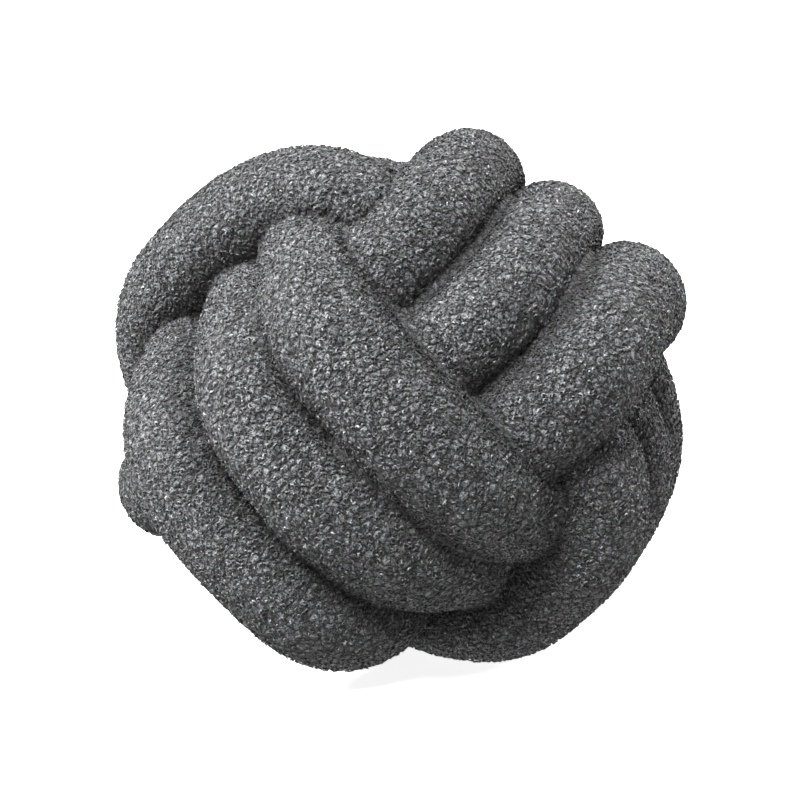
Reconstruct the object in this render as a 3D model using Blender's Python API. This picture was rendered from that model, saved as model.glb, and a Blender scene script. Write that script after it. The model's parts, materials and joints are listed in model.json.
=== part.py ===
"""A knot cushion: one long stuffed fleece tube, tied into a ball.

The tube goes round the ball nine times, in three bands (A, B and C) that stand
at right angles to each other. Each band has three turns side by side. Band A
passes over band B, B over C, and C over A. The ends of the tube are tucked away
inside, so the ball is one solid of its wound form.

Metres, +Z up. The ball stands on Z = 0 on the turns that its weight presses
flat, and the front is towards -Y.
"""

import math
from collections import namedtuple

import bmesh
import bpy
from mathutils import Matrix, Vector

MM = 0.001

# The ball
CORE_RADIUS = 80 * MM        # the stuffing behind the turns
CENTRE_HEIGHT = 120.0 * MM   # the ball's centre above the floor, with its weight on it
PRESSED_DEPTH = 40 * MM      # thickness of the block that cuts the flat spots

# How the knot is turned. Untilted, band A crosses over at the front and the back
# (-Y and +Y), band B at the top and the bottom, band C at the two sides.
TURN = math.radians(-23.3)   # the front crossing looks a little to the left
DIP = math.radians(8.7)      # and down
ROLL = math.radians(44.7)    # band A leans from upper left to lower right

# The mesh: each turn's rings and sides, then the grain of the cloth skin laid
# over all nine, and how many triangles are left of it.
RINGS = 96
SIDES = 28
GRAIN = 2.5 * MM
TRIANGLES = 11400

# Band: the way out of the ball where it passes over, and where it passes under,
# and the way its three turns lie side by side.
FRONT, UP, RIGHT = Vector((0, -1, 0)), Vector((0, 0, 1)), Vector((1, 0, 0))
BANDS = {
    "A": (FRONT, RIGHT, UP),
    "B": (UP, FRONT, RIGHT),
    "C": (RIGHT, UP, FRONT),
}

# One turn, in millimetres. It has four stations: over, under, far over and far
# under. `height` is the tube's middle above the ball's centre at each of them,
# and `lane` is how far it lies to the side. `wide` and `thick` are half the
# tube's width and thickness where it is over, then where it is squeezed under.
# `square` is 2 for a round loop and more for a loop with fuller corners, and
# `shift` moves the loop towards its under station.
Turn = namedtuple("Turn", "name square height lane wide thick shift")
TURNS = (
    Turn("A1", 2.4, (102.0, 88.0, 103.0, 81.5), (55.0, 36.0, 53.0, 53.5), (28.0, 26.5), (26.5, 23.5), 0),
    Turn("A2", 2.4, (110.0, 85.0, 113.5, 84.0), (5.0, 0.0, 0.0, 13.5), (27.0, 26.0), (26.5, 23.5), 0),
    Turn("A3", 2.4, (106.5, 75.5, 103.0, 93.0), (-48.0, -52.0, -51.5, -35.5), (29.5, 27.5), (26.5, 23.5), 0),
    Turn("B1", 2.2, (102.0, 78.5, 119.0, 73.5), (-50.0, -43.0, -53.0, -51.5), (25.0, 29.0), (26.0, 23.5), 0),
    Turn("B2", 2.2, (111.0, 81.5, 112.0, 81.5), (-6.5, 4.0, 0.0, 0.0), (25.0, 25.5), (26.5, 23.5), 0),
    Turn("B3", 2.2, (118.5, 73.5, 86.5, 73.5), (41.5, 55.0, 51.5, 51.5), (28.5, 26.5), (26.5, 23.5), 0),
    Turn("C1", 2.6, (114.5, 79.5, 109.0, 80.5), (33.0, 38.5, 35.0, 38.5), (28.5, 26.5), (26.5, 23.5), 4.0),
    Turn("C2", 2.2, (117.5, 81.5, 108.0, 81.5), (-12.0, -12.0, -12.0, -12.0), (28.5, 26.5), (26.5, 23.5), 2.5),
    Turn("C3", 2.2, (113.5, 73.5, 103.0, 73.5), (-59.0, -61.0, -61.0, -61.0), (28.5, 26.5), (26.5, 23.5), 3.5),
)

# Where a turn is pulled tighter (-) or bulges (+), and where it slides to the
# side: the place along it in degrees from its over station, how far that
# reaches, then the lift and the slide in millimetres.
Pull = namedtuple("Pull", "name at reach lift slide")
PULLS = (
    Pull("A1", 60, 22, -5.0, -2.0),
    Pull("A1", 236, 32, -14.5, 0),
    Pull("A1", 306, 16, -2.5, 0),
    Pull("A2", 60, 22, -5.0, -2.5),
    Pull("A2", 304, 18, -3.5, 0),
    Pull("A2", 325, 18, 0, 2.5),
    Pull("A3", 34, 24, 6.5, 0),
    Pull("A3", 66, 18, -8.0, 0),
    Pull("A3", 302, 16, -5.0, 0),
    Pull("A3", 335, 18, 1.5, 0),
    Pull("B1", 30, 22, 0, 4.0),
    Pull("B1", 140, 20, 1.5, 0),
    Pull("B2", 26, 20, 0, 7.0),
    Pull("B3", 32, 22, 0, 6.5),
    Pull("B3", 72, 16, 0, -8.0),
    Pull("C1", 10, 16, -2.0, 0),
    Pull("C1", 132, 16, 4.5, 0),
    Pull("C1", 208, 25, 6.0, 0),
    Pull("C1", 300, 30, -12.5, 0),
    Pull("C1", 330, 28, -8.5, 0),
    Pull("C2", 8, 24, -4.5, 0),
    Pull("C2", 38, 16, 2.5, 0),
    Pull("C2", 118, 34, -15.5, 0),
    Pull("C2", 305, 30, -2.0, 0),
    Pull("C3", 8, 24, -4.5, 0),
    Pull("C3", 134, 38, -20.5, 0),
    Pull("C3", 305, 30, 3.0, 0),
)


def clear_scene():
    for obj in list(bpy.data.objects):
        bpy.data.objects.remove(obj)


def between_stations(values, angle):
    """A value given at the four stations, eased from one to the next."""
    over = values[0] if math.cos(angle) > 0 else values[2]
    under = values[1] if math.sin(angle) > 0 else values[3]
    return over * math.cos(angle) ** 2 + under * math.sin(angle) ** 2


def fuller(value, square):
    return math.copysign(abs(value) ** (2 / square), value)


def middle_of(turn, angle):
    """The tube's middle at this angle along the turn, in metres from the ball's centre."""
    over_axis, under_axis, side_axis = BANDS[turn.name[0]]
    over_height = turn.height[0] if math.cos(angle) > 0 else turn.height[2]
    under_height = turn.height[1] if math.sin(angle) > 0 else turn.height[3]
    u = over_height * fuller(math.cos(angle), turn.square)
    v = under_height * fuller(math.sin(angle), turn.square)
    radius = math.hypot(u, v)
    lane = between_stations(turn.lane, angle)
    grown = 1.0
    for pull in PULLS:
        if pull.name == turn.name:
            away = (math.degrees(angle) - pull.at + 180) % 360 - 180
            share = math.exp(-((away / pull.reach) ** 2))
            grown += pull.lift / radius * share
            lane += pull.slide * share
    return MM * (over_axis * u * grown + under_axis * (v * grown + turn.shift) + side_axis * lane)


def even_angles(turn, count):
    """Angles along the turn that are the same length of tube apart."""
    fine = [2 * math.pi * i / (count * 8) for i in range(count * 8 + 1)]
    lengths = [0.0]
    for before, after in zip(fine, fine[1:]):
        lengths.append(lengths[-1] + (middle_of(turn, after) - middle_of(turn, before)).length)
    angles, at = [], 0
    for i in range(count):
        wanted = lengths[-1] * i / count
        while lengths[at + 1] < wanted:
            at += 1
        part = (wanted - lengths[at]) / (lengths[at + 1] - lengths[at])
        angles.append(fine[at] + part * (fine[at + 1] - fine[at]))
    return angles


def turn_object(turn):
    """The turn as a closed tube of oval section."""
    bm = bmesh.new()
    rings = []
    for angle in even_angles(turn, RINGS):
        middle = middle_of(turn, angle)
        ahead = (middle_of(turn, angle + 0.02) - middle_of(turn, angle - 0.02)).normalized()
        across = ahead.cross(middle).normalized()
        outward = across.cross(ahead)
        wide = MM * between_stations((turn.wide * 2), angle)
        thick = MM * between_stations((turn.thick * 2), angle)
        ring = []
        for side in range(SIDES):
            round_ = 2 * math.pi * side / SIDES
            ring.append(bm.verts.new(middle + across * wide * math.cos(round_) + outward * thick * math.sin(round_)))
        rings.append(ring)
    for i, ring in enumerate(rings):
        after = rings[(i + 1) % len(rings)]
        for j in range(SIDES):
            k = (j + 1) % SIDES
            bm.faces.new((ring[j], ring[k], after[k], after[j]))
    bmesh.ops.recalc_face_normals(bm, faces=bm.faces)
    return mesh_object("turn_" + turn.name, bm)


def mesh_object(name, bm):
    mesh = bpy.data.meshes.new(name)
    bm.to_mesh(mesh)
    bm.free()
    obj = bpy.data.objects.new(name, mesh)
    bpy.context.scene.collection.objects.link(obj)
    return obj


def core_object():
    bm = bmesh.new()
    bmesh.ops.create_icosphere(bm, subdivisions=3, radius=CORE_RADIUS)
    return mesh_object("core", bm)


def floor_block():
    """Everything below the floor, cut away to leave the flat spots."""
    bm = bmesh.new()
    bmesh.ops.create_cube(bm, size=1.0, matrix=Matrix.Diagonal((0.5, 0.5, PRESSED_DEPTH, 1)))
    block = mesh_object("floor_block", bm)
    block.location.z = -PRESSED_DEPTH / 2
    return block


def add_boolean(obj, operation, other):
    modifier = obj.modifiers.new(operation.lower() + "_" + other.name, "BOOLEAN")
    modifier.operation = operation
    modifier.solver = "EXACT"
    modifier.object = other


def apply_modifiers(obj):
    graph = bpy.context.evaluated_depsgraph_get()
    mesh = bpy.data.meshes.new_from_object(obj.evaluated_get(graph))
    obj.modifiers.clear()
    obj.data = mesh


def keep_outer_skin(obj):
    """Deletes the skins of the gaps shut in between the turns, which the stuffing fills."""
    bm = bmesh.new()
    bm.from_mesh(obj.data)
    left = set(bm.verts)
    skins = []
    while left:
        skin, edge_of_it = set(), [left.pop()]
        while edge_of_it:
            vert = edge_of_it.pop()
            skin.add(vert)
            for edge in vert.link_edges:
                other = edge.other_vert(vert)
                if other in left:
                    left.remove(other)
                    edge_of_it.append(other)
        skins.append(skin)
    skins.sort(key=len)
    for skin in skins[:-1]:
        bmesh.ops.delete(bm, geom=list(skin), context="VERTS")
    bm.to_mesh(obj.data)
    bm.free()


def fleece():
    material = bpy.data.materials.new("charcoal_fleece")
    material.use_nodes = True
    shader = material.node_tree.nodes["Principled BSDF"]
    shader.inputs["Base Color"].default_value = (0.105, 0.108, 0.112, 1)
    shader.inputs["Roughness"].default_value = 0.95
    shader.inputs["Metallic"].default_value = 0.0
    return material


def knot_object():
    """All the turns and the core, joined under one skin."""
    pieces = [core_object()] + [turn_object(turn) for turn in TURNS]
    bm = bmesh.new()
    for piece in pieces:
        bm.from_mesh(piece.data)
        bpy.data.objects.remove(piece)
    knot = mesh_object("stuffed_tube_knot", bm)

    # Turn the knot and stand its centre above the floor.
    turned = Matrix.Rotation(TURN, 4, "Z") @ Matrix.Rotation(DIP, 4, "X") @ Matrix.Rotation(ROLL, 4, "Y")
    knot.data.transform(Matrix.Translation((0, 0, CENTRE_HEIGHT)) @ turned)

    skin = knot.modifiers.new("skin", "REMESH")
    skin.mode = "VOXEL"
    skin.voxel_size = GRAIN
    apply_modifiers(knot)
    keep_outer_skin(knot)
    thin = knot.modifiers.new("thin_out", "DECIMATE")
    thin.ratio = TRIANGLES / (2 * len(knot.data.polygons))
    apply_modifiers(knot)

    # Press it flat on the floor.
    block = floor_block()
    add_boolean(knot, "DIFFERENCE", block)
    apply_modifiers(knot)
    bpy.data.objects.remove(block)

    # Centre it over the origin.
    xs = [vert.co.x for vert in knot.data.vertices]
    ys = [vert.co.y for vert in knot.data.vertices]
    knot.data.transform(Matrix.Translation((-(min(xs) + max(xs)) / 2, -(min(ys) + max(ys)) / 2, 0)))

    knot.data.materials.clear()
    knot.data.materials.append(fleece())
    knot.data.shade_smooth()
    knot.data.set_sharp_from_angle(angle=math.radians(40))
    return knot


clear_scene()
knot_object()
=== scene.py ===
"""Knot cushion: a ball tied from one long stuffed tube of charcoal curly fleece.

The tube goes round the ball nine times, in three bands of three turns. The
cushion is one padded skin, with the fleece's curls standing on it turn by turn.
It rests on the floor at Z = 0 and its front is towards -Y. Metres.
"""

import json
import math
from collections import namedtuple

import bpy
import numpy as np
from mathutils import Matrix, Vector

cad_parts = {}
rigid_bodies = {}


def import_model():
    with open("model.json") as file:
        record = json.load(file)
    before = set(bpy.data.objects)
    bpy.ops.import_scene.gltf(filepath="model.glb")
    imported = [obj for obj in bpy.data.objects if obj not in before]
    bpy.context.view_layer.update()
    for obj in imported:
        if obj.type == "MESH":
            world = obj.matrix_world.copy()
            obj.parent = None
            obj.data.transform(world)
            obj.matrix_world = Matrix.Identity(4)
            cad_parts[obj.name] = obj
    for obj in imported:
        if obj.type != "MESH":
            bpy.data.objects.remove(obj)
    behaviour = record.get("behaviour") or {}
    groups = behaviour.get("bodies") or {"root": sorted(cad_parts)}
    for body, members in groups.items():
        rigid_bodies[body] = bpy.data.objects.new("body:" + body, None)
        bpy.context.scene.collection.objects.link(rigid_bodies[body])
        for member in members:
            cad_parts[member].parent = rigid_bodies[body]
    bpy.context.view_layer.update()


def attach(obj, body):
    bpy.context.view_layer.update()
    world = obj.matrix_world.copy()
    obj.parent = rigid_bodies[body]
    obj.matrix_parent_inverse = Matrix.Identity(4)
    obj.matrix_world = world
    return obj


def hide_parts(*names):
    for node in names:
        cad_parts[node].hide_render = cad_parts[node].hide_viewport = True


MM = 0.001

# The ball, as the solid has it
CORE_RADIUS = 80 * MM
BALL_CENTRE = np.array((-0.5, 0.0, 120.0)) * MM
TURN, DIP, ROLL = (math.radians(a) for a in (-23.3, 8.7, 44.7))

# The photograph's view: the camera stands this far from the ball's centre and
# this far above level, with a picture 392 mm wide at the ball.
CAMERA_DISTANCE = 0.98
CAMERA_RISE = math.radians(12)
PICTURE_WIDTH = 0.392
SENSOR = 36.0

# The light: soft lamps, each with the side it comes from, its power and its
# spread in degrees, over a dome and a floor. Both look white to the camera, and
# how much light each throws on the cushion is its own value.
Lamp = namedtuple("Lamp", "name side power spread")
LAMPS = (
    Lamp("key", (-0.29, -0.50, 0.82), 6.8, 25),
    Lamp("left", (-0.77, 0.0, 0.64), 6.2, 25),
    Lamp("right", (0.76, 0.54, 0.36), 3.5, 25),
)
DOME_LOOK = 1.0
DOME_THROW = 0.08
FLOOR_LOOK = 0.85
FLOOR_THROW = 0.95
FLOOR_SIZE = 120
FLOOR_WHITE = 0.9
FLOOR_ROUGHNESS = 0.9
WHITE = (1, 1, 1, 1)

# The padded skin under the curls
RINGS, SIDES = 300, 64       # each turn's mesh before the turns are joined
STEPS_PER_RING = 8           # how finely a turn is measured, to space its rings evenly
LOOK_AHEAD = 0.02            # radians to each side that give a turn's direction
AT_ONCE = 20000              # points measured at a time, to save memory
CORE_ROUNDS = 4              # how finely the core's ball is divided
BACKING_GRAIN = 2.3 * MM     # the skin's mesh
BACKING_INSET = 0.9 * MM     # the curls' tips, not their roots, reach the cushion's full size
BACKING_CREASE = 1.8 * MM    # how far the skin sinks where two turns press together
CREASE_REACH = 1.0 * MM
BACKING_FLOOR = 0.2 * MM     # it is flat this far above the floor
BACKING_TONE = 0.5
SETTLING = 2                 # how many times its points are moved onto the turns
TINY = 1e-9                  # keeps a division from being by zero

# Its relief: soft lumps, and the tufts that the curls gather into
Waves = namedtuple("Waves", "seed count shortest longest height")
LUMPS = Waves(3, 14, 38 * MM, 80 * MM, 0.5 * MM)
PEBBLES = Waves(5, 40, 5 * MM, 10 * MM, 0.35 * MM)
PEBBLE_LIMIT = 1.5
# The backing is painted lighter where its tufts stand up and darker where they dip: painted shade.
PEBBLE_TONE = 0.3

# The curls
FIRST_SEED = 100
CURL_SPACING = 2.0 * MM
CURL_STRAY = 0.4             # share of the spacing that a curl may stand out of line
CURL_GAP = 0.2 * MM          # none stands nearer to another turn than this,
CURL_SITE_FLOOR = 0.4 * MM   # or nearer to the floor,
CURL_FLOOR = 0.1 * MM        # and none reaches lower than this
CURL_CREASE = 0.4 * MM       # how far they sink where two turns press together
CURL_RADIUS = (0.6 * MM, 0.95 * MM)
CURL_ARC = math.radians(230)
CURL_STEPS = 3
CURL_LEAN = (5, 45)          # degrees that a curl stands up from the skin
CURL_STRETCH = (0.85, 1.25)
CURL_TWIST = 0.25
CURL_RAISE = 0.25 * MM       # how far its middle stands off the skin when it lies flat,
LEAN_RAISE = 0.35            # and the share of its radius that leaning adds
YARN_RADIUS = 0.38 * MM
# A curl is darker towards the skin: partly the fleece's own lighter tips, partly painted shade deep in the
# pile.
PILE_DEPTH = 1.5 * MM        # from this height up a curl has its full tone,
ROOT_TONE = 0.3              # and at the skin this share of it
CURL_TONE = (0.32, 0.48)
# Painted highlights: a share of the curls is painted lighter as glints.
PAINTED_GLINT_SHARE = 0.15          # share of the curls that catch the light,
PAINTED_GLINT_TONE = 0.35           # and how much lighter they are

# Painted shade: how much darker the pile's colour is made this close to another turn,
# in the crease, beside it, and low down on the flank of its own turn
Shade = namedtuple("Shade", "share reach")
PAINTED_CREASE_SHADE = Shade(0.85, 0.6 * MM)
PAINTED_BESIDE_SHADE = Shade(0.25, 4 * MM)
PAINTED_LOW_SHADE = Shade(0.65, 16 * MM)
SUNK = (4 * MM, 15 * MM)     # how far below its turn's crest the pile starts to be low, and is fully so

# The yarn's shading, finer than the curls: tufts between thin cracks, painted darker in
# the cracks as painted shade, and winding lines of yarn over them
TUFT_WIDTH = 3.6 * MM
UNEVEN_SCALE = 420.0         # the tufts' outlines are pushed about by noise this fine,
UNEVEN_PUSH = 1.8 * MM       # by up to this much
CRACK_SLOPE = 3.2
CRACK_ROUNDING = 0.7
MEAN_TUFT = 0.7
LINE_DETAIL = 1.0
LINE_SLOPE = 9.0
LINE_MIDDLE = 0.5
LINE_HEIGHT = 0.3
SPECULAR = 0.4
SHEEN = 0.15
SHEEN_ROUGHNESS = 0.4
Fleece = namedtuple("Fleece", "name gap tip winding tufting scale bump_depth roughness")
FLEECES = (
    Fleece("fleece_backing", (0.004, 0.004, 0.005), (0.30, 0.305, 0.314), 1.4, 1.5, 900, 1.2 * MM, 0.85),
    Fleece("fleece_curls", (0.006, 0.006, 0.007), (0.66, 0.67, 0.685), 1.4, 1.5, 1500, 0.5 * MM, 0.5),
)

# Each band's ways: over, under and to the side
BANDS = {
    "A": ((0, -1, 0), (1, 0, 0), (0, 0, 1)),
    "B": ((0, 0, 1), (0, -1, 0), (1, 0, 0)),
    "C": ((1, 0, 0), (0, 0, 1), (0, -1, 0)),
}

# The turns, in millimetres. A height is how far out the tube's middle runs, and a
# lane how far to the side, each at four stations: over, under, far over and far
# under. Wide and thick are half the tube, where it is over and where it is under.
Turn = namedtuple("Turn", "name square height lane wide thick shift")
TURNS = (
    Turn("A1", 2.4, (102.0, 88.0, 103.0, 81.5), (55.0, 36.0, 53.0, 53.5), (28.0, 26.5), (26.5, 23.5), 0),
    Turn("A2", 2.4, (110.0, 85.0, 113.5, 84.0), (5.0, 0.0, 0.0, 13.5), (27.0, 26.0), (26.5, 23.5), 0),
    Turn("A3", 2.4, (106.5, 75.5, 103.0, 93.0), (-48.0, -52.0, -51.5, -35.5), (29.5, 27.5), (26.5, 23.5), 0),
    Turn("B1", 2.2, (102.0, 78.5, 119.0, 73.5), (-50.0, -43.0, -53.0, -51.5), (25.0, 29.0), (26.0, 23.5), 0),
    Turn("B2", 2.2, (111.0, 81.5, 112.0, 81.5), (-6.5, 4.0, 0.0, 0.0), (25.0, 25.5), (26.5, 23.5), 0),
    Turn("B3", 2.2, (118.5, 73.5, 86.5, 73.5), (41.5, 55.0, 51.5, 51.5), (28.5, 26.5), (26.5, 23.5), 0),
    Turn("C1", 2.6, (114.5, 79.5, 109.0, 80.5), (33.0, 38.5, 35.0, 38.5), (28.5, 26.5), (26.5, 23.5), 4.0),
    Turn("C2", 2.2, (117.5, 81.5, 108.0, 81.5), (-12, -12, -12, -12), (28.5, 26.5), (26.5, 23.5), 2.5),
    Turn("C3", 2.2, (113.5, 73.5, 103.0, 73.5), (-59, -61, -61, -61), (28.5, 26.5), (26.5, 23.5), 3.5),
)

# Where a turn is pulled tighter (-) or bulges (+), and where it slides to the
# side: at and reach are degrees along the turn, lift and slide are millimetres.
Pull = namedtuple("Pull", "name at reach lift slide")
PULLS = (
    Pull("A1", 60, 22, -5.0, -2.0),
    Pull("A1", 236, 32, -14.5, 0),
    Pull("A1", 306, 16, -2.5, 0),
    Pull("A2", 60, 22, -5.0, -2.5),
    Pull("A2", 304, 18, -3.5, 0),
    Pull("A2", 325, 18, 0, 2.5),
    Pull("A3", 34, 24, 6.5, 0),
    Pull("A3", 66, 18, -8.0, 0),
    Pull("A3", 302, 16, -5.0, 0),
    Pull("A3", 335, 18, 1.5, 0),
    Pull("B1", 30, 22, 0, 4.0),
    Pull("B1", 140, 20, 1.5, 0),
    Pull("B2", 26, 20, 0, 7.0),
    Pull("B3", 32, 22, 0, 6.5),
    Pull("B3", 72, 16, 0, -8.0),
    Pull("C1", 10, 16, -2.0, 0),
    Pull("C1", 132, 16, 4.5, 0),
    Pull("C1", 208, 25, 6.0, 0),
    Pull("C1", 300, 30, -12.5, 0),
    Pull("C1", 330, 28, -8.5, 0),
    Pull("C2", 8, 24, -4.5, 0),
    Pull("C2", 38, 16, 2.5, 0),
    Pull("C2", 118, 34, -15.5, 0),
    Pull("C2", 305, 30, -2.0, 0),
    Pull("C3", 8, 24, -4.5, 0),
    Pull("C3", 134, 38, -20.5, 0),
    Pull("C3", 305, 30, 3.0, 0),
)

# Under the bands that cross it, every turn is pressed deeper in.
UNDER = (90, 270)
UNDER_REACH, UNDER_LIFT = 16, -16.0
PULLS += tuple(Pull(turn.name, at, UNDER_REACH, UNDER_LIFT, 0) for turn in TURNS for at in UNDER)

# A turn laid out as rings: where its middle is, the ways across, outward and
# ahead there, and half its width and thickness.
Path = namedtuple("Path", "middle across outward ahead wide thick")


# ---------------------------------------------------------------- the knot


def knot_tilt():
    """How the knot is turned, as a 3 x 3 matrix."""
    ct, st = math.cos(TURN), math.sin(TURN)
    cd, sd = math.cos(DIP), math.sin(DIP)
    cr, sr = math.cos(ROLL), math.sin(ROLL)
    turn = np.array(((ct, -st, 0), (st, ct, 0), (0, 0, 1)))
    dip = np.array(((1, 0, 0), (0, cd, -sd), (0, sd, cd)))
    roll = np.array(((cr, 0, sr), (0, 1, 0), (-sr, 0, cr)))
    return turn @ dip @ roll


def between_stations(values, angle):
    """A value at these angles, smoothly between its four stations."""
    over = np.where(np.cos(angle) > 0, values[0], values[2])
    under = np.where(np.sin(angle) > 0, values[1], values[3])
    return over * np.cos(angle) ** 2 + under * np.sin(angle) ** 2


def fuller(value, square):
    """A sine or cosine for a ring that is squarer than a circle, which is 2."""
    return np.sign(value) * np.abs(value) ** (2 / square)


def middle_of(turn, angle):
    """The tube's middle at these angles along the turn, in millimetres from the ball's centre."""
    over_way, under_way, side_way = (np.array(way, float) for way in BANDS[turn.name[0]])
    over, under, far_over, far_under = turn.height
    cos, sin = np.cos(angle), np.sin(angle)
    u = np.where(cos > 0, over, far_over) * fuller(cos, turn.square)
    v = np.where(sin > 0, under, far_under) * fuller(sin, turn.square)
    radius = np.hypot(u, v)
    lane = between_stations(turn.lane, angle)
    grown = np.ones_like(angle)
    for pull in PULLS:
        if pull.name == turn.name:
            away = (np.degrees(angle) - pull.at + 180) % 360 - 180
            share = np.exp(-((away / pull.reach) ** 2))
            grown += pull.lift / radius * share
            lane += pull.slide * share
    in_ring = np.outer(u * grown, over_way) + np.outer(v * grown + turn.shift, under_way)
    return in_ring + np.outer(lane, side_way)


def path_of(turn, count):
    """The turn as that many evenly spaced rings, in place."""
    fine = np.linspace(0, 2 * math.pi, count * STEPS_PER_RING + 1)
    steps = np.linalg.norm(np.diff(middle_of(turn, fine), axis=0), axis=1)
    lengths = np.concatenate(([0], np.cumsum(steps)))
    angle = np.interp(np.arange(count) * lengths[-1] / count, lengths, fine)
    middle = middle_of(turn, angle)
    ahead = unit(middle_of(turn, angle + LOOK_AHEAD) - middle_of(turn, angle - LOOK_AHEAD))
    across = unit(np.cross(ahead, middle))
    outward = np.cross(across, ahead)
    tilt = knot_tilt().T
    return Path(
        middle @ tilt * MM + BALL_CENTRE,
        across @ tilt,
        outward @ tilt,
        ahead @ tilt,
        MM * between_stations(turn.wide * 2, angle),
        MM * between_stations(turn.thick * 2, angle),
    )


def unit(vectors):
    return vectors / np.linalg.norm(vectors, axis=-1, keepdims=True)


def nearest_ring(points, path):
    """Which of the turn's rings each point is nearest to."""
    apart = (path.middle**2).sum(1) - 2 * points @ path.middle.T
    return apart.argmin(1)


def depths(points, paths):
    """How far each point is outside every turn (last column: the core), and the way out of it."""
    far = np.empty((len(points), len(paths) + 1))
    way = np.empty((len(points), len(paths) + 1, 3))
    for k, path in enumerate(paths):
        for first in range(0, len(points), AT_ONCE):
            now = slice(first, first + AT_ONCE)
            some = points[now]
            ring = nearest_ring(some, path)
            off = some - path.middle[ring]
            x = (off * path.across[ring]).sum(1)
            y = (off * path.outward[ring]).sum(1)
            wide, thick = path.wide[ring], path.thick[ring]
            size = np.hypot(x / wide, y / thick) + TINY
            far[now, k] = np.hypot(x, y) * (1 - 1 / size)
            out = path.across[ring] * (x / wide**2)[:, None] + path.outward[ring] * (y / thick**2)[:, None]
            way[now, k] = unit(out + TINY)
    off = points - BALL_CENTRE
    far[:, -1] = np.linalg.norm(off, axis=1) - CORE_RADIUS
    way[:, -1] = unit(off)
    return far, way


def waves(points, kind):
    """Smooth random relief of about -1 to 1, with lumps of these sizes."""
    dice = np.random.default_rng(kind.seed)
    total = np.zeros(len(points))
    for _ in range(kind.count):
        way = unit(dice.normal(size=3))
        length = dice.uniform(kind.shortest, kind.longest)
        total += np.sin(points @ way * (2 * math.pi / length) + dice.uniform(0, 2 * math.pi))
    return total / math.sqrt(kind.count)


def near_neighbour(gap, reach):
    """1 in the crease between two turns, fading out over this reach."""
    return np.exp(-((gap / reach) ** 2))


def below_crest(points, own, paths):
    """How much nearer the ball's centre each point is than the top of its own turn."""
    crest = np.full(len(points), CORE_RADIUS)
    for k, path in enumerate(paths):
        tops = np.linalg.norm(path.middle - BALL_CENTRE, axis=1) + path.thick
        mine = own == k
        crest[mine] = tops[nearest_ring(points[mine], path)]
    return crest - np.linalg.norm(points - BALL_CENTRE, axis=1)


def shade_between(points, own, gap, paths):
    """How much of its colour the pile keeps under the painted shade near another turn, 0 to 1."""
    low = np.clip((below_crest(points, own, paths) - SUNK[0]) / (SUNK[1] - SUNK[0]), 0, 1)
    light = np.ones(len(points))
    # Each darkening is painted shade, where another turn hides the light.
    for shade, strength in ((PAINTED_CREASE_SHADE, 1), (PAINTED_BESIDE_SHADE, 1), (PAINTED_LOW_SHADE, low)):
        light *= 1 - shade.share * strength * near_neighbour(gap, shade.reach)
    return light


def pebbles(points):
    """The small tufts that the curls gather into, -1 to 1."""
    return np.clip(waves(points, PEBBLES), -PEBBLE_LIMIT, PEBBLE_LIMIT) / PEBBLE_LIMIT


def relief(points, gap, crease_depth):
    """How far the skin lies outside the plain turns: soft lumps, tufts, and tight creases."""
    lumps = LUMPS.height * waves(points, LUMPS)
    crease = crease_depth * near_neighbour(gap, CREASE_REACH)
    return lumps + PEBBLES.height * pebbles(points) - crease - BACKING_INSET


# ---------------------------------------------------------------- the padded skin


def new_turn(path):
    """A torus laid along the turn."""
    bpy.ops.mesh.primitive_torus_add(major_segments=RINGS, minor_segments=SIDES)
    tube = bpy.context.object
    around = np.arange(SIDES) * 2 * math.pi / SIDES
    outward = (path.thick[:, None] * np.cos(around))[..., None] * path.outward[:, None]
    across = (path.wide[:, None] * np.sin(around))[..., None] * path.across[:, None]
    place_points(tube, path.middle[:, None] + outward - across)
    return tube


def apply_all(piece):
    bpy.context.view_layer.objects.active = piece
    for modifier in list(piece.modifiers):
        bpy.ops.object.modifier_apply(modifier=modifier.name)


def points_of(piece):
    points = np.empty(len(piece.data.vertices) * 3)
    piece.data.vertices.foreach_get("co", points)
    return points.reshape(-1, 3)


def place_points(piece, points):
    piece.data.vertices.foreach_set("co", points.ravel())
    piece.data.update()


def add_tone(mesh, values):
    """How light each point of the fleece is, 0 to 1."""
    tone = mesh.attributes.new("tone", "FLOAT", "POINT")
    tone.data.foreach_set("value", np.clip(values, 0, 1).ravel().astype(np.float32))


def only(piece):
    """Select this piece and nothing else."""
    bpy.ops.object.select_all(action="DESELECT")
    piece.select_set(True)
    bpy.context.view_layer.objects.active = piece


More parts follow.
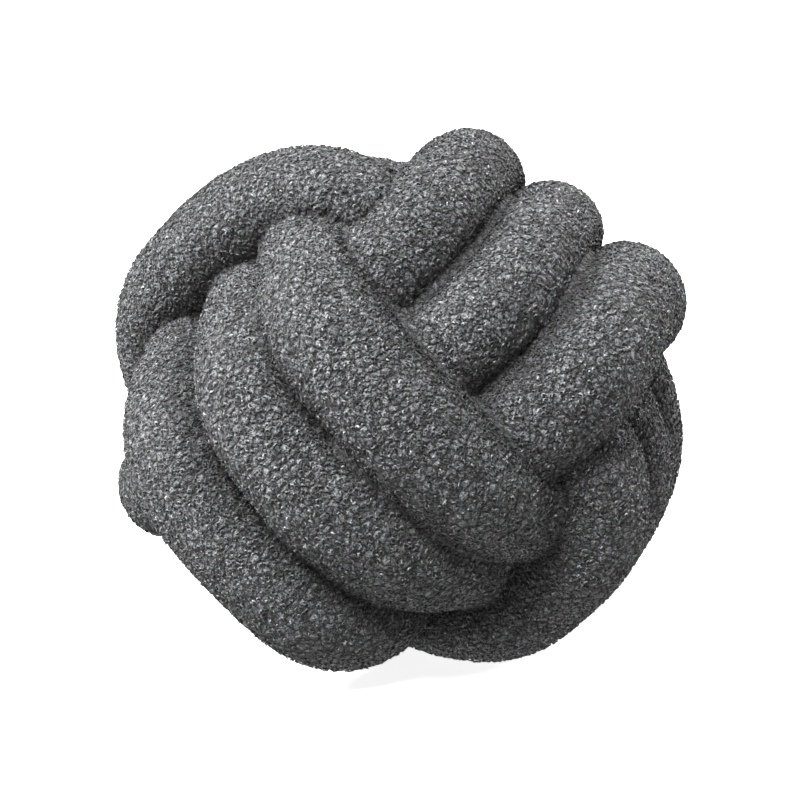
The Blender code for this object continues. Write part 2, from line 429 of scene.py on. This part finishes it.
def new_backing(paths):
    """All the turns and the core under one skin, flat where it rests on the floor."""
    bpy.ops.object.select_all(action="DESELECT")
    tubes = [new_turn(path) for path in paths]
    bpy.ops.mesh.primitive_ico_sphere_add(subdivisions=CORE_ROUNDS, radius=CORE_RADIUS, location=BALL_CENTRE)
    for tube in tubes:
        tube.select_set(True)
    bpy.context.view_layer.objects.active = tubes[0]
    bpy.ops.object.join()
    backing = bpy.context.object
    backing.name = backing.data.name = "fleece_backing"
    skin = backing.modifiers.new("skin", "REMESH")
    skin.mode = "VOXEL"
    skin.voxel_size = BACKING_GRAIN
    apply_all(backing)

    # Only the outer skin: the gaps shut in between the turns are stuffing.
    only(backing)
    bpy.ops.object.mode_set(mode="EDIT")
    bpy.ops.mesh.select_all(action="DESELECT")
    bpy.ops.object.mode_set(mode="OBJECT")
    backing.data.vertices[int(points_of(backing)[:, 2].argmax())].select = True
    bpy.ops.object.mode_set(mode="EDIT")
    bpy.ops.mesh.select_linked()
    bpy.ops.mesh.select_all(action="INVERT")
    bpy.ops.mesh.delete(type="VERT")
    bpy.ops.object.mode_set(mode="OBJECT")

    # On the turns exactly, then the relief.
    points = points_of(backing)
    for _ in range(SETTLING):
        far, way = depths(points, paths)
        nearest = far.argmin(1)
        rows = np.arange(len(points))
        out = way[rows, nearest]
        points = points - out * far[rows, nearest][:, None]
    gap = np.sort(far, axis=1)[:, 1]
    # The backing's tone is darker near the other turns and where its tufts dip, both as painted shade.
    tone = (BACKING_TONE + PEBBLE_TONE * pebbles(points)) * shade_between(points, nearest, gap, paths)
    points = points + out * relief(points, gap, BACKING_CREASE)[:, None]
    points[:, 2] = np.maximum(points[:, 2], BACKING_FLOOR)
    place_points(backing, points)
    add_tone(backing.data, tone)
    bpy.ops.object.shade_smooth()
    return backing


# ---------------------------------------------------------------- the curls


def one_curl():
    """One curl of yarn: an arch of radius 1 over +Y.

    The yarn is three-sided. Its inner side never shows, so it has only its outer two.
    """
    bpy.ops.object.select_all(action="DESELECT")
    bpy.ops.mesh.primitive_circle_add(
        vertices=3,
        radius=YARN_RADIUS / (sum(CURL_RADIUS) / 2),
        fill_type="NOTHING",
        location=(1, 0, 0),
        rotation=(math.pi / 2, math.pi / 2, 0),
    )
    curl = bpy.context.object
    bpy.ops.object.transform_apply(location=True, rotation=True, scale=True)
    apex = int(points_of(curl)[:, 0].argmax())
    bpy.ops.object.mode_set(mode="EDIT")
    bpy.ops.mesh.select_mode(type="EDGE")
    bpy.ops.mesh.select_all(action="DESELECT")
    bpy.ops.object.mode_set(mode="OBJECT")
    for edge in curl.data.edges:
        edge.select = apex not in edge.vertices
    bpy.ops.object.mode_set(mode="EDIT")
    bpy.ops.mesh.delete(type="EDGE")
    bpy.ops.mesh.select_all(action="SELECT")
    bpy.ops.mesh.spin(steps=CURL_STEPS, dupli=False, angle=CURL_ARC, center=(0, 0, 0), axis=(0, 0, 1))
    bpy.ops.mesh.select_all(action="SELECT")
    bpy.ops.mesh.quads_convert_to_tris()
    bpy.ops.mesh.normals_make_consistent(inside=False)
    bpy.ops.object.mode_set(mode="OBJECT")
    face = curl.data.polygons[0]
    yarn_middle = Vector((face.center.x, face.center.y, 0)).normalized()
    if face.normal.dot(face.center - yarn_middle) < 0:
        curl.data.flip_normals()

    # Its feet point to -Y.
    points = points_of(curl)
    x, y, _ = points.mean(0)
    c, s = y / math.hypot(x, y), x / math.hypot(x, y)
    place_points(curl, points @ np.array(((c, s, 0), (-s, c, 0), (0, 0, 1))))
    return curl


def curl_sites(number, paths, dice):
    """Where the curls of one turn stand, in rows round the tube, a little out of line.

    For each curl: its site, the way up, how light it stays under the painted shade near
    another turn, and the way along the tube.
    """
    path = paths[number]
    length = np.linalg.norm(np.roll(path.middle, -1, 0) - path.middle, axis=1).sum()
    girth = math.pi * (path.wide.mean() + path.thick.mean())
    rows, columns = round(length / CURL_SPACING), round(girth / CURL_SPACING)
    row, column = np.meshgrid(np.arange(rows), np.arange(columns), indexing="ij")
    # Every other row stands half a step on.
    column = column + 0.5 * (row % 2) + dice.uniform(-CURL_STRAY, CURL_STRAY, row.shape)
    row = row + dice.uniform(-CURL_STRAY, CURL_STRAY, row.shape)
    ring = (row / rows * len(path.middle)).ravel() % len(path.middle)
    whole = ring.astype(int)
    part = (ring - whole)[:, None]
    after = (whole + 1) % len(path.middle)

    def at(values):
        values = values if values.ndim == 2 else values[:, None]
        return values[whole] * (1 - part) + values[after] * part

    around = (column / columns * 2 * math.pi).ravel()[:, None]
    wide, thick = at(path.wide), at(path.thick)
    across, outward = unit(at(path.across)), unit(at(path.outward))
    site = at(path.middle) + outward * thick * np.cos(around) + across * wide * np.sin(around)
    up = unit(outward * np.cos(around) / thick + across * np.sin(around) / wide)
    far, _ = depths(site, paths)
    far[:, number] = 1
    gap = far.min(1)
    kept = (gap > CURL_GAP) & (site[:, 2] > CURL_SITE_FLOOR)
    site, up, gap, along = site[kept], up[kept], gap[kept], unit(at(path.ahead))[kept]
    shade = shade_between(site, np.full(len(site), number), gap, paths)
    return site + up * relief(site, gap, CURL_CREASE)[:, None], up, shade, along


def new_curls(turn, number, paths, curl):
    """All the curls of one turn, as one piece."""
    dice = np.random.default_rng(FIRST_SEED + number)
    site, up, painted_light, along = curl_sites(number, paths, dice)
    count = len(site)
    shape = points_of(curl)
    faces = np.array([tuple(face.vertices) for face in curl.data.polygons])

    # Each curl has its own heading, lean, size, stretch and twist.
    heading = dice.uniform(0, 2 * math.pi, (count, 1))
    lean = np.radians(dice.uniform(*CURL_LEAN, (count, 1)))
    size = dice.uniform(*CURL_RADIUS, (count, 1))
    stretch = dice.uniform(*CURL_STRETCH, (count, 1))
    twist = dice.uniform(-CURL_TWIST, CURL_TWIST, (count, 1))
    x_way = along * np.cos(heading) + np.cross(up, along) * np.sin(heading)
    y_way = np.cross(up, x_way) * np.cos(lean) + up * np.sin(lean)
    z_way = np.cross(x_way, y_way)
    x = shape[:, 0] * size * stretch
    y = shape[:, 1] * size / stretch
    z = (shape[:, 2] + twist * shape[:, 0]) * size
    points = x[..., None] * x_way[:, None] + y[..., None] * y_way[:, None] + z[..., None] * z_way[:, None]
    points += (site + up * (CURL_RAISE + LEAN_RAISE * size * np.sin(lean)))[:, None]
    height = ((points - site[:, None]) * up[:, None]).sum(2)
    points[..., 2] = np.maximum(points[..., 2], CURL_FLOOR)

    mesh = bpy.data.meshes.new("curls_" + turn.name)
    mesh.vertices.add(count * len(shape))
    mesh.vertices.foreach_set("co", points.ravel())
    corners = (faces[None] + len(shape) * np.arange(count)[:, None, None]).ravel()
    mesh.loops.add(len(corners))
    mesh.loops.foreach_set("vertex_index", corners)
    mesh.polygons.add(len(corners) // 3)
    mesh.polygons.foreach_set("loop_start", np.arange(0, len(corners), 3))
    mesh.update(calc_edges=True)
    mesh.shade_smooth()
    # Darker towards the skin: partly the fleece's lighter tips, partly painted shade deep in the pile.
    tip = ROOT_TONE + (1 - ROOT_TONE) * np.clip(height / PILE_DEPTH, 0, 1)
    # A share of the curls is painted lighter, as painted glints.
    shade = dice.uniform(*CURL_TONE, (count, 1)) + PAINTED_GLINT_TONE * (dice.random((count, 1)) < PAINTED_GLINT_SHARE)
    # Each curl's tone also carries the painted shade near other turns.
    add_tone(mesh, tip * shade * painted_light[:, None])
    piece = bpy.data.objects.new("curls_" + turn.name, mesh)
    bpy.context.scene.collection.objects.link(piece)
    return piece


# ---------------------------------------------------------------- materials


def yarn_group():
    """Curly yarn: winding lines of yarn over darker gaps, and tufts with painted shade in the cracks between
    them, as a colour and as a height.
    """
    group = bpy.data.node_groups.new("curly_yarn", "ShaderNodeTree")
    for name, kind, way in (
        ("Gap", "NodeSocketColor", "INPUT"),
        ("Tip", "NodeSocketColor", "INPUT"),
        ("Tone", "NodeSocketFloat", "INPUT"),
        ("Winding", "NodeSocketFloat", "INPUT"),
        ("Tufting", "NodeSocketFloat", "INPUT"),
        ("Scale", "NodeSocketFloat", "INPUT"),
        ("Color", "NodeSocketColor", "OUTPUT"),
        ("Height", "NodeSocketFloat", "OUTPUT"),
    ):
        group.interface.new_socket(name=name, in_out=way, socket_type=kind)
    nodes, links = group.nodes, group.links
    enter, leave = nodes.new("NodeGroupInput"), nodes.new("NodeGroupOutput")
    place = nodes.new("ShaderNodeTexCoord")
    noise = nodes.new("ShaderNodeTexNoise")
    noise.inputs["Detail"].default_value = LINE_DETAIL
    links.new(place.outputs["Object"], noise.inputs["Vector"])
    links.new(enter.outputs["Scale"], noise.inputs["Scale"])
    uneven = nodes.new("ShaderNodeTexNoise")
    uneven.inputs["Scale"].default_value = UNEVEN_SCALE
    links.new(place.outputs["Object"], uneven.inputs["Vector"])
    pushed = nodes.new("ShaderNodeVectorMath")
    pushed.operation = "MULTIPLY_ADD"
    pushed.inputs[1].default_value = (UNEVEN_PUSH,) * 3
    links.new(uneven.outputs["Color"], pushed.inputs[0])
    links.new(place.outputs["Object"], pushed.inputs[2])
    tufts = nodes.new("ShaderNodeTexVoronoi")
    tufts.feature = "DISTANCE_TO_EDGE"
    tufts.inputs["Scale"].default_value = 1 / TUFT_WIDTH
    links.new(pushed.outputs[0], tufts.inputs["Vector"])

    def math_node(operation, first, second=None, third=None):
        node = nodes.new("ShaderNodeMath")
        node.operation = operation
        for socket, value in zip(node.inputs, (first, second, third)):
            if isinstance(value, (int, float)):
                socket.default_value = value
            elif value is not None:
                links.new(value, socket)
        return node.outputs[0]

    # A line of yarn runs wherever the noise passes its middle value.
    off_line = math_node("ABSOLUTE", math_node("SUBTRACT", noise.outputs["Fac"], 0.5))
    line = math_node("MAXIMUM", math_node("MULTIPLY_ADD", off_line, -LINE_SLOPE, 1.0), 0.0)
    # Tufts stand up between thin cracks, and the cracks are painted darker as painted shade.
    slope = math_node("MULTIPLY", tufts.outputs["Distance"], CRACK_SLOPE)
    tuft = math_node("MINIMUM", math_node("POWER", slope, CRACK_ROUNDING), 1.0)
    crack_shade = math_node("MULTIPLY", math_node("SUBTRACT", tuft, MEAN_TUFT), enter.outputs["Tufting"])
    wound = math_node("MULTIPLY", math_node("SUBTRACT", line, LINE_MIDDLE), enter.outputs["Winding"])
    shaded = math_node("MULTIPLY", math_node("ADD", crack_shade, 1.0), enter.outputs["Tone"])
    mix = nodes.new("ShaderNodeMix")
    mix.data_type = "RGBA"
    mix.clamp_factor = True
    links.new(math_node("MULTIPLY", math_node("ADD", wound, 1.0), shaded), mix.inputs["Factor"])
    links.new(enter.outputs["Gap"], mix.inputs[6])
    links.new(enter.outputs["Tip"], mix.inputs[7])
    links.new(mix.outputs[2], leave.inputs["Color"])
    links.new(math_node("MULTIPLY_ADD", line, LINE_HEIGHT, tuft), leave.inputs["Height"])
    return group


def new_fleece(fleece, group):
    """One of the fleece's two materials. Each point's own tone makes it lighter or darker."""
    material = bpy.data.materials.new(fleece.name)
    material.use_nodes = True
    nodes, links = material.node_tree.nodes, material.node_tree.links
    shader = nodes["Principled BSDF"]
    shader.inputs["Roughness"].default_value = fleece.roughness
    shader.inputs["Specular IOR Level"].default_value = SPECULAR
    shader.inputs["Sheen Weight"].default_value = SHEEN
    shader.inputs["Sheen Roughness"].default_value = SHEEN_ROUGHNESS
    yarn = nodes.new("ShaderNodeGroup")
    yarn.node_tree = group
    yarn.inputs["Gap"].default_value = (*fleece.gap, 1)
    yarn.inputs["Tip"].default_value = (*fleece.tip, 1)
    yarn.inputs["Winding"].default_value = fleece.winding
    yarn.inputs["Tufting"].default_value = fleece.tufting
    yarn.inputs["Scale"].default_value = fleece.scale
    tone = nodes.new("ShaderNodeAttribute")
    tone.attribute_name = "tone"
    links.new(tone.outputs["Fac"], yarn.inputs["Tone"])
    links.new(yarn.outputs["Color"], shader.inputs["Base Color"])
    bump = nodes.new("ShaderNodeBump")
    bump.inputs["Distance"].default_value = fleece.bump_depth
    links.new(yarn.outputs["Height"], bump.inputs["Height"])
    links.new(bump.outputs["Normal"], shader.inputs["Normal"])
    return material


# ---------------------------------------------------------------- the studio


def aim(thing, target):
    thing.rotation_euler = (Vector(target) - thing.location).to_track_quat("-Z", "Y").to_euler()


def look_and_throw(nodes, links, look, throw, output):
    """The camera sees one shader, and the light on the cushion comes from the other."""
    path = nodes.new("ShaderNodeLightPath")
    either = nodes.new("ShaderNodeMixShader")
    links.new(path.outputs["Is Camera Ray"], either.inputs[0])
    links.new(throw.outputs[0], either.inputs[1])
    links.new(look.outputs[0], either.inputs[2])
    links.new(either.outputs[0], nodes[output].inputs["Surface"])


def new_floor():
    """A white floor that glows a little, so that shadows on it stay pale."""
    bpy.ops.mesh.primitive_plane_add(size=FLOOR_SIZE, location=(0, 0, 0))
    floor = bpy.context.object
    floor.name = "pale_floor"
    pale = bpy.data.materials.new("pale_floor")
    pale.use_nodes = True
    nodes, links = pale.node_tree.nodes, pale.node_tree.links
    look = nodes["Principled BSDF"]
    look.inputs["Base Color"].default_value = (FLOOR_WHITE, FLOOR_WHITE, FLOOR_WHITE, 1)
    look.inputs["Roughness"].default_value = FLOOR_ROUGHNESS
    look.inputs["Specular IOR Level"].default_value = 0.0
    look.inputs["Emission Color"].default_value = WHITE
    look.inputs["Emission Strength"].default_value = FLOOR_LOOK
    throw = nodes.new("ShaderNodeEmission")
    throw.inputs["Strength"].default_value = FLOOR_THROW
    look_and_throw(nodes, links, look, throw, "Material Output")
    floor.data.materials.append(pale)


def new_dome():
    """A white dome that looks as bright as the floor but lights only weakly."""
    world = bpy.data.worlds.new("studio")
    world.use_nodes = True
    nodes, links = world.node_tree.nodes, world.node_tree.links
    throw = nodes["Background"]
    throw.inputs["Color"].default_value = WHITE
    throw.inputs["Strength"].default_value = DOME_THROW
    look = nodes.new("ShaderNodeBackground")
    look.inputs["Color"].default_value = WHITE
    look.inputs["Strength"].default_value = DOME_LOOK
    look_and_throw(nodes, links, look, throw, "World Output")
    bpy.context.scene.world = world


def new_lamps():
    for lamp in LAMPS:
        bpy.ops.object.light_add(type="SUN", location=BALL_CENTRE + np.array(lamp.side))
        light = bpy.context.object
        light.name = lamp.name
        light.data.energy = lamp.power
        light.data.angle = math.radians(lamp.spread)
        aim(light, BALL_CENTRE)


def new_camera():
    bpy.ops.object.camera_add()
    camera = bpy.context.object
    rise = np.array((0, -math.cos(CAMERA_RISE), math.sin(CAMERA_RISE)))
    camera.location = BALL_CENTRE + CAMERA_DISTANCE * rise
    aim(camera, BALL_CENTRE)
    camera.data.sensor_width = SENSOR
    camera.data.lens = SENSOR * CAMERA_DISTANCE / PICTURE_WIDTH
    bpy.context.scene.camera = camera


# ---------------------------------------------------------------- everything

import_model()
bpy.ops.object.select_all(action="DESELECT")
bpy.context.scene.view_settings.view_transform = "Standard"
new_camera()
new_floor()
new_dome()
new_lamps()

paths = [path_of(turn, RINGS) for turn in TURNS]
backing = new_backing(paths)
curl = one_curl()
curls = [new_curls(turn, number, paths, curl) for number, turn in enumerate(TURNS)]
bpy.data.objects.remove(curl)

group = yarn_group()
backing_fleece, curl_fleece = (new_fleece(fleece, group) for fleece in FLEECES)
backing.data.materials.append(backing_fleece)
for piece in curls:
    piece.data.materials.append(curl_fleece)

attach(backing, "root")
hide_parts("stuffed_tube_knot")
for piece in curls:
    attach(piece, "root")
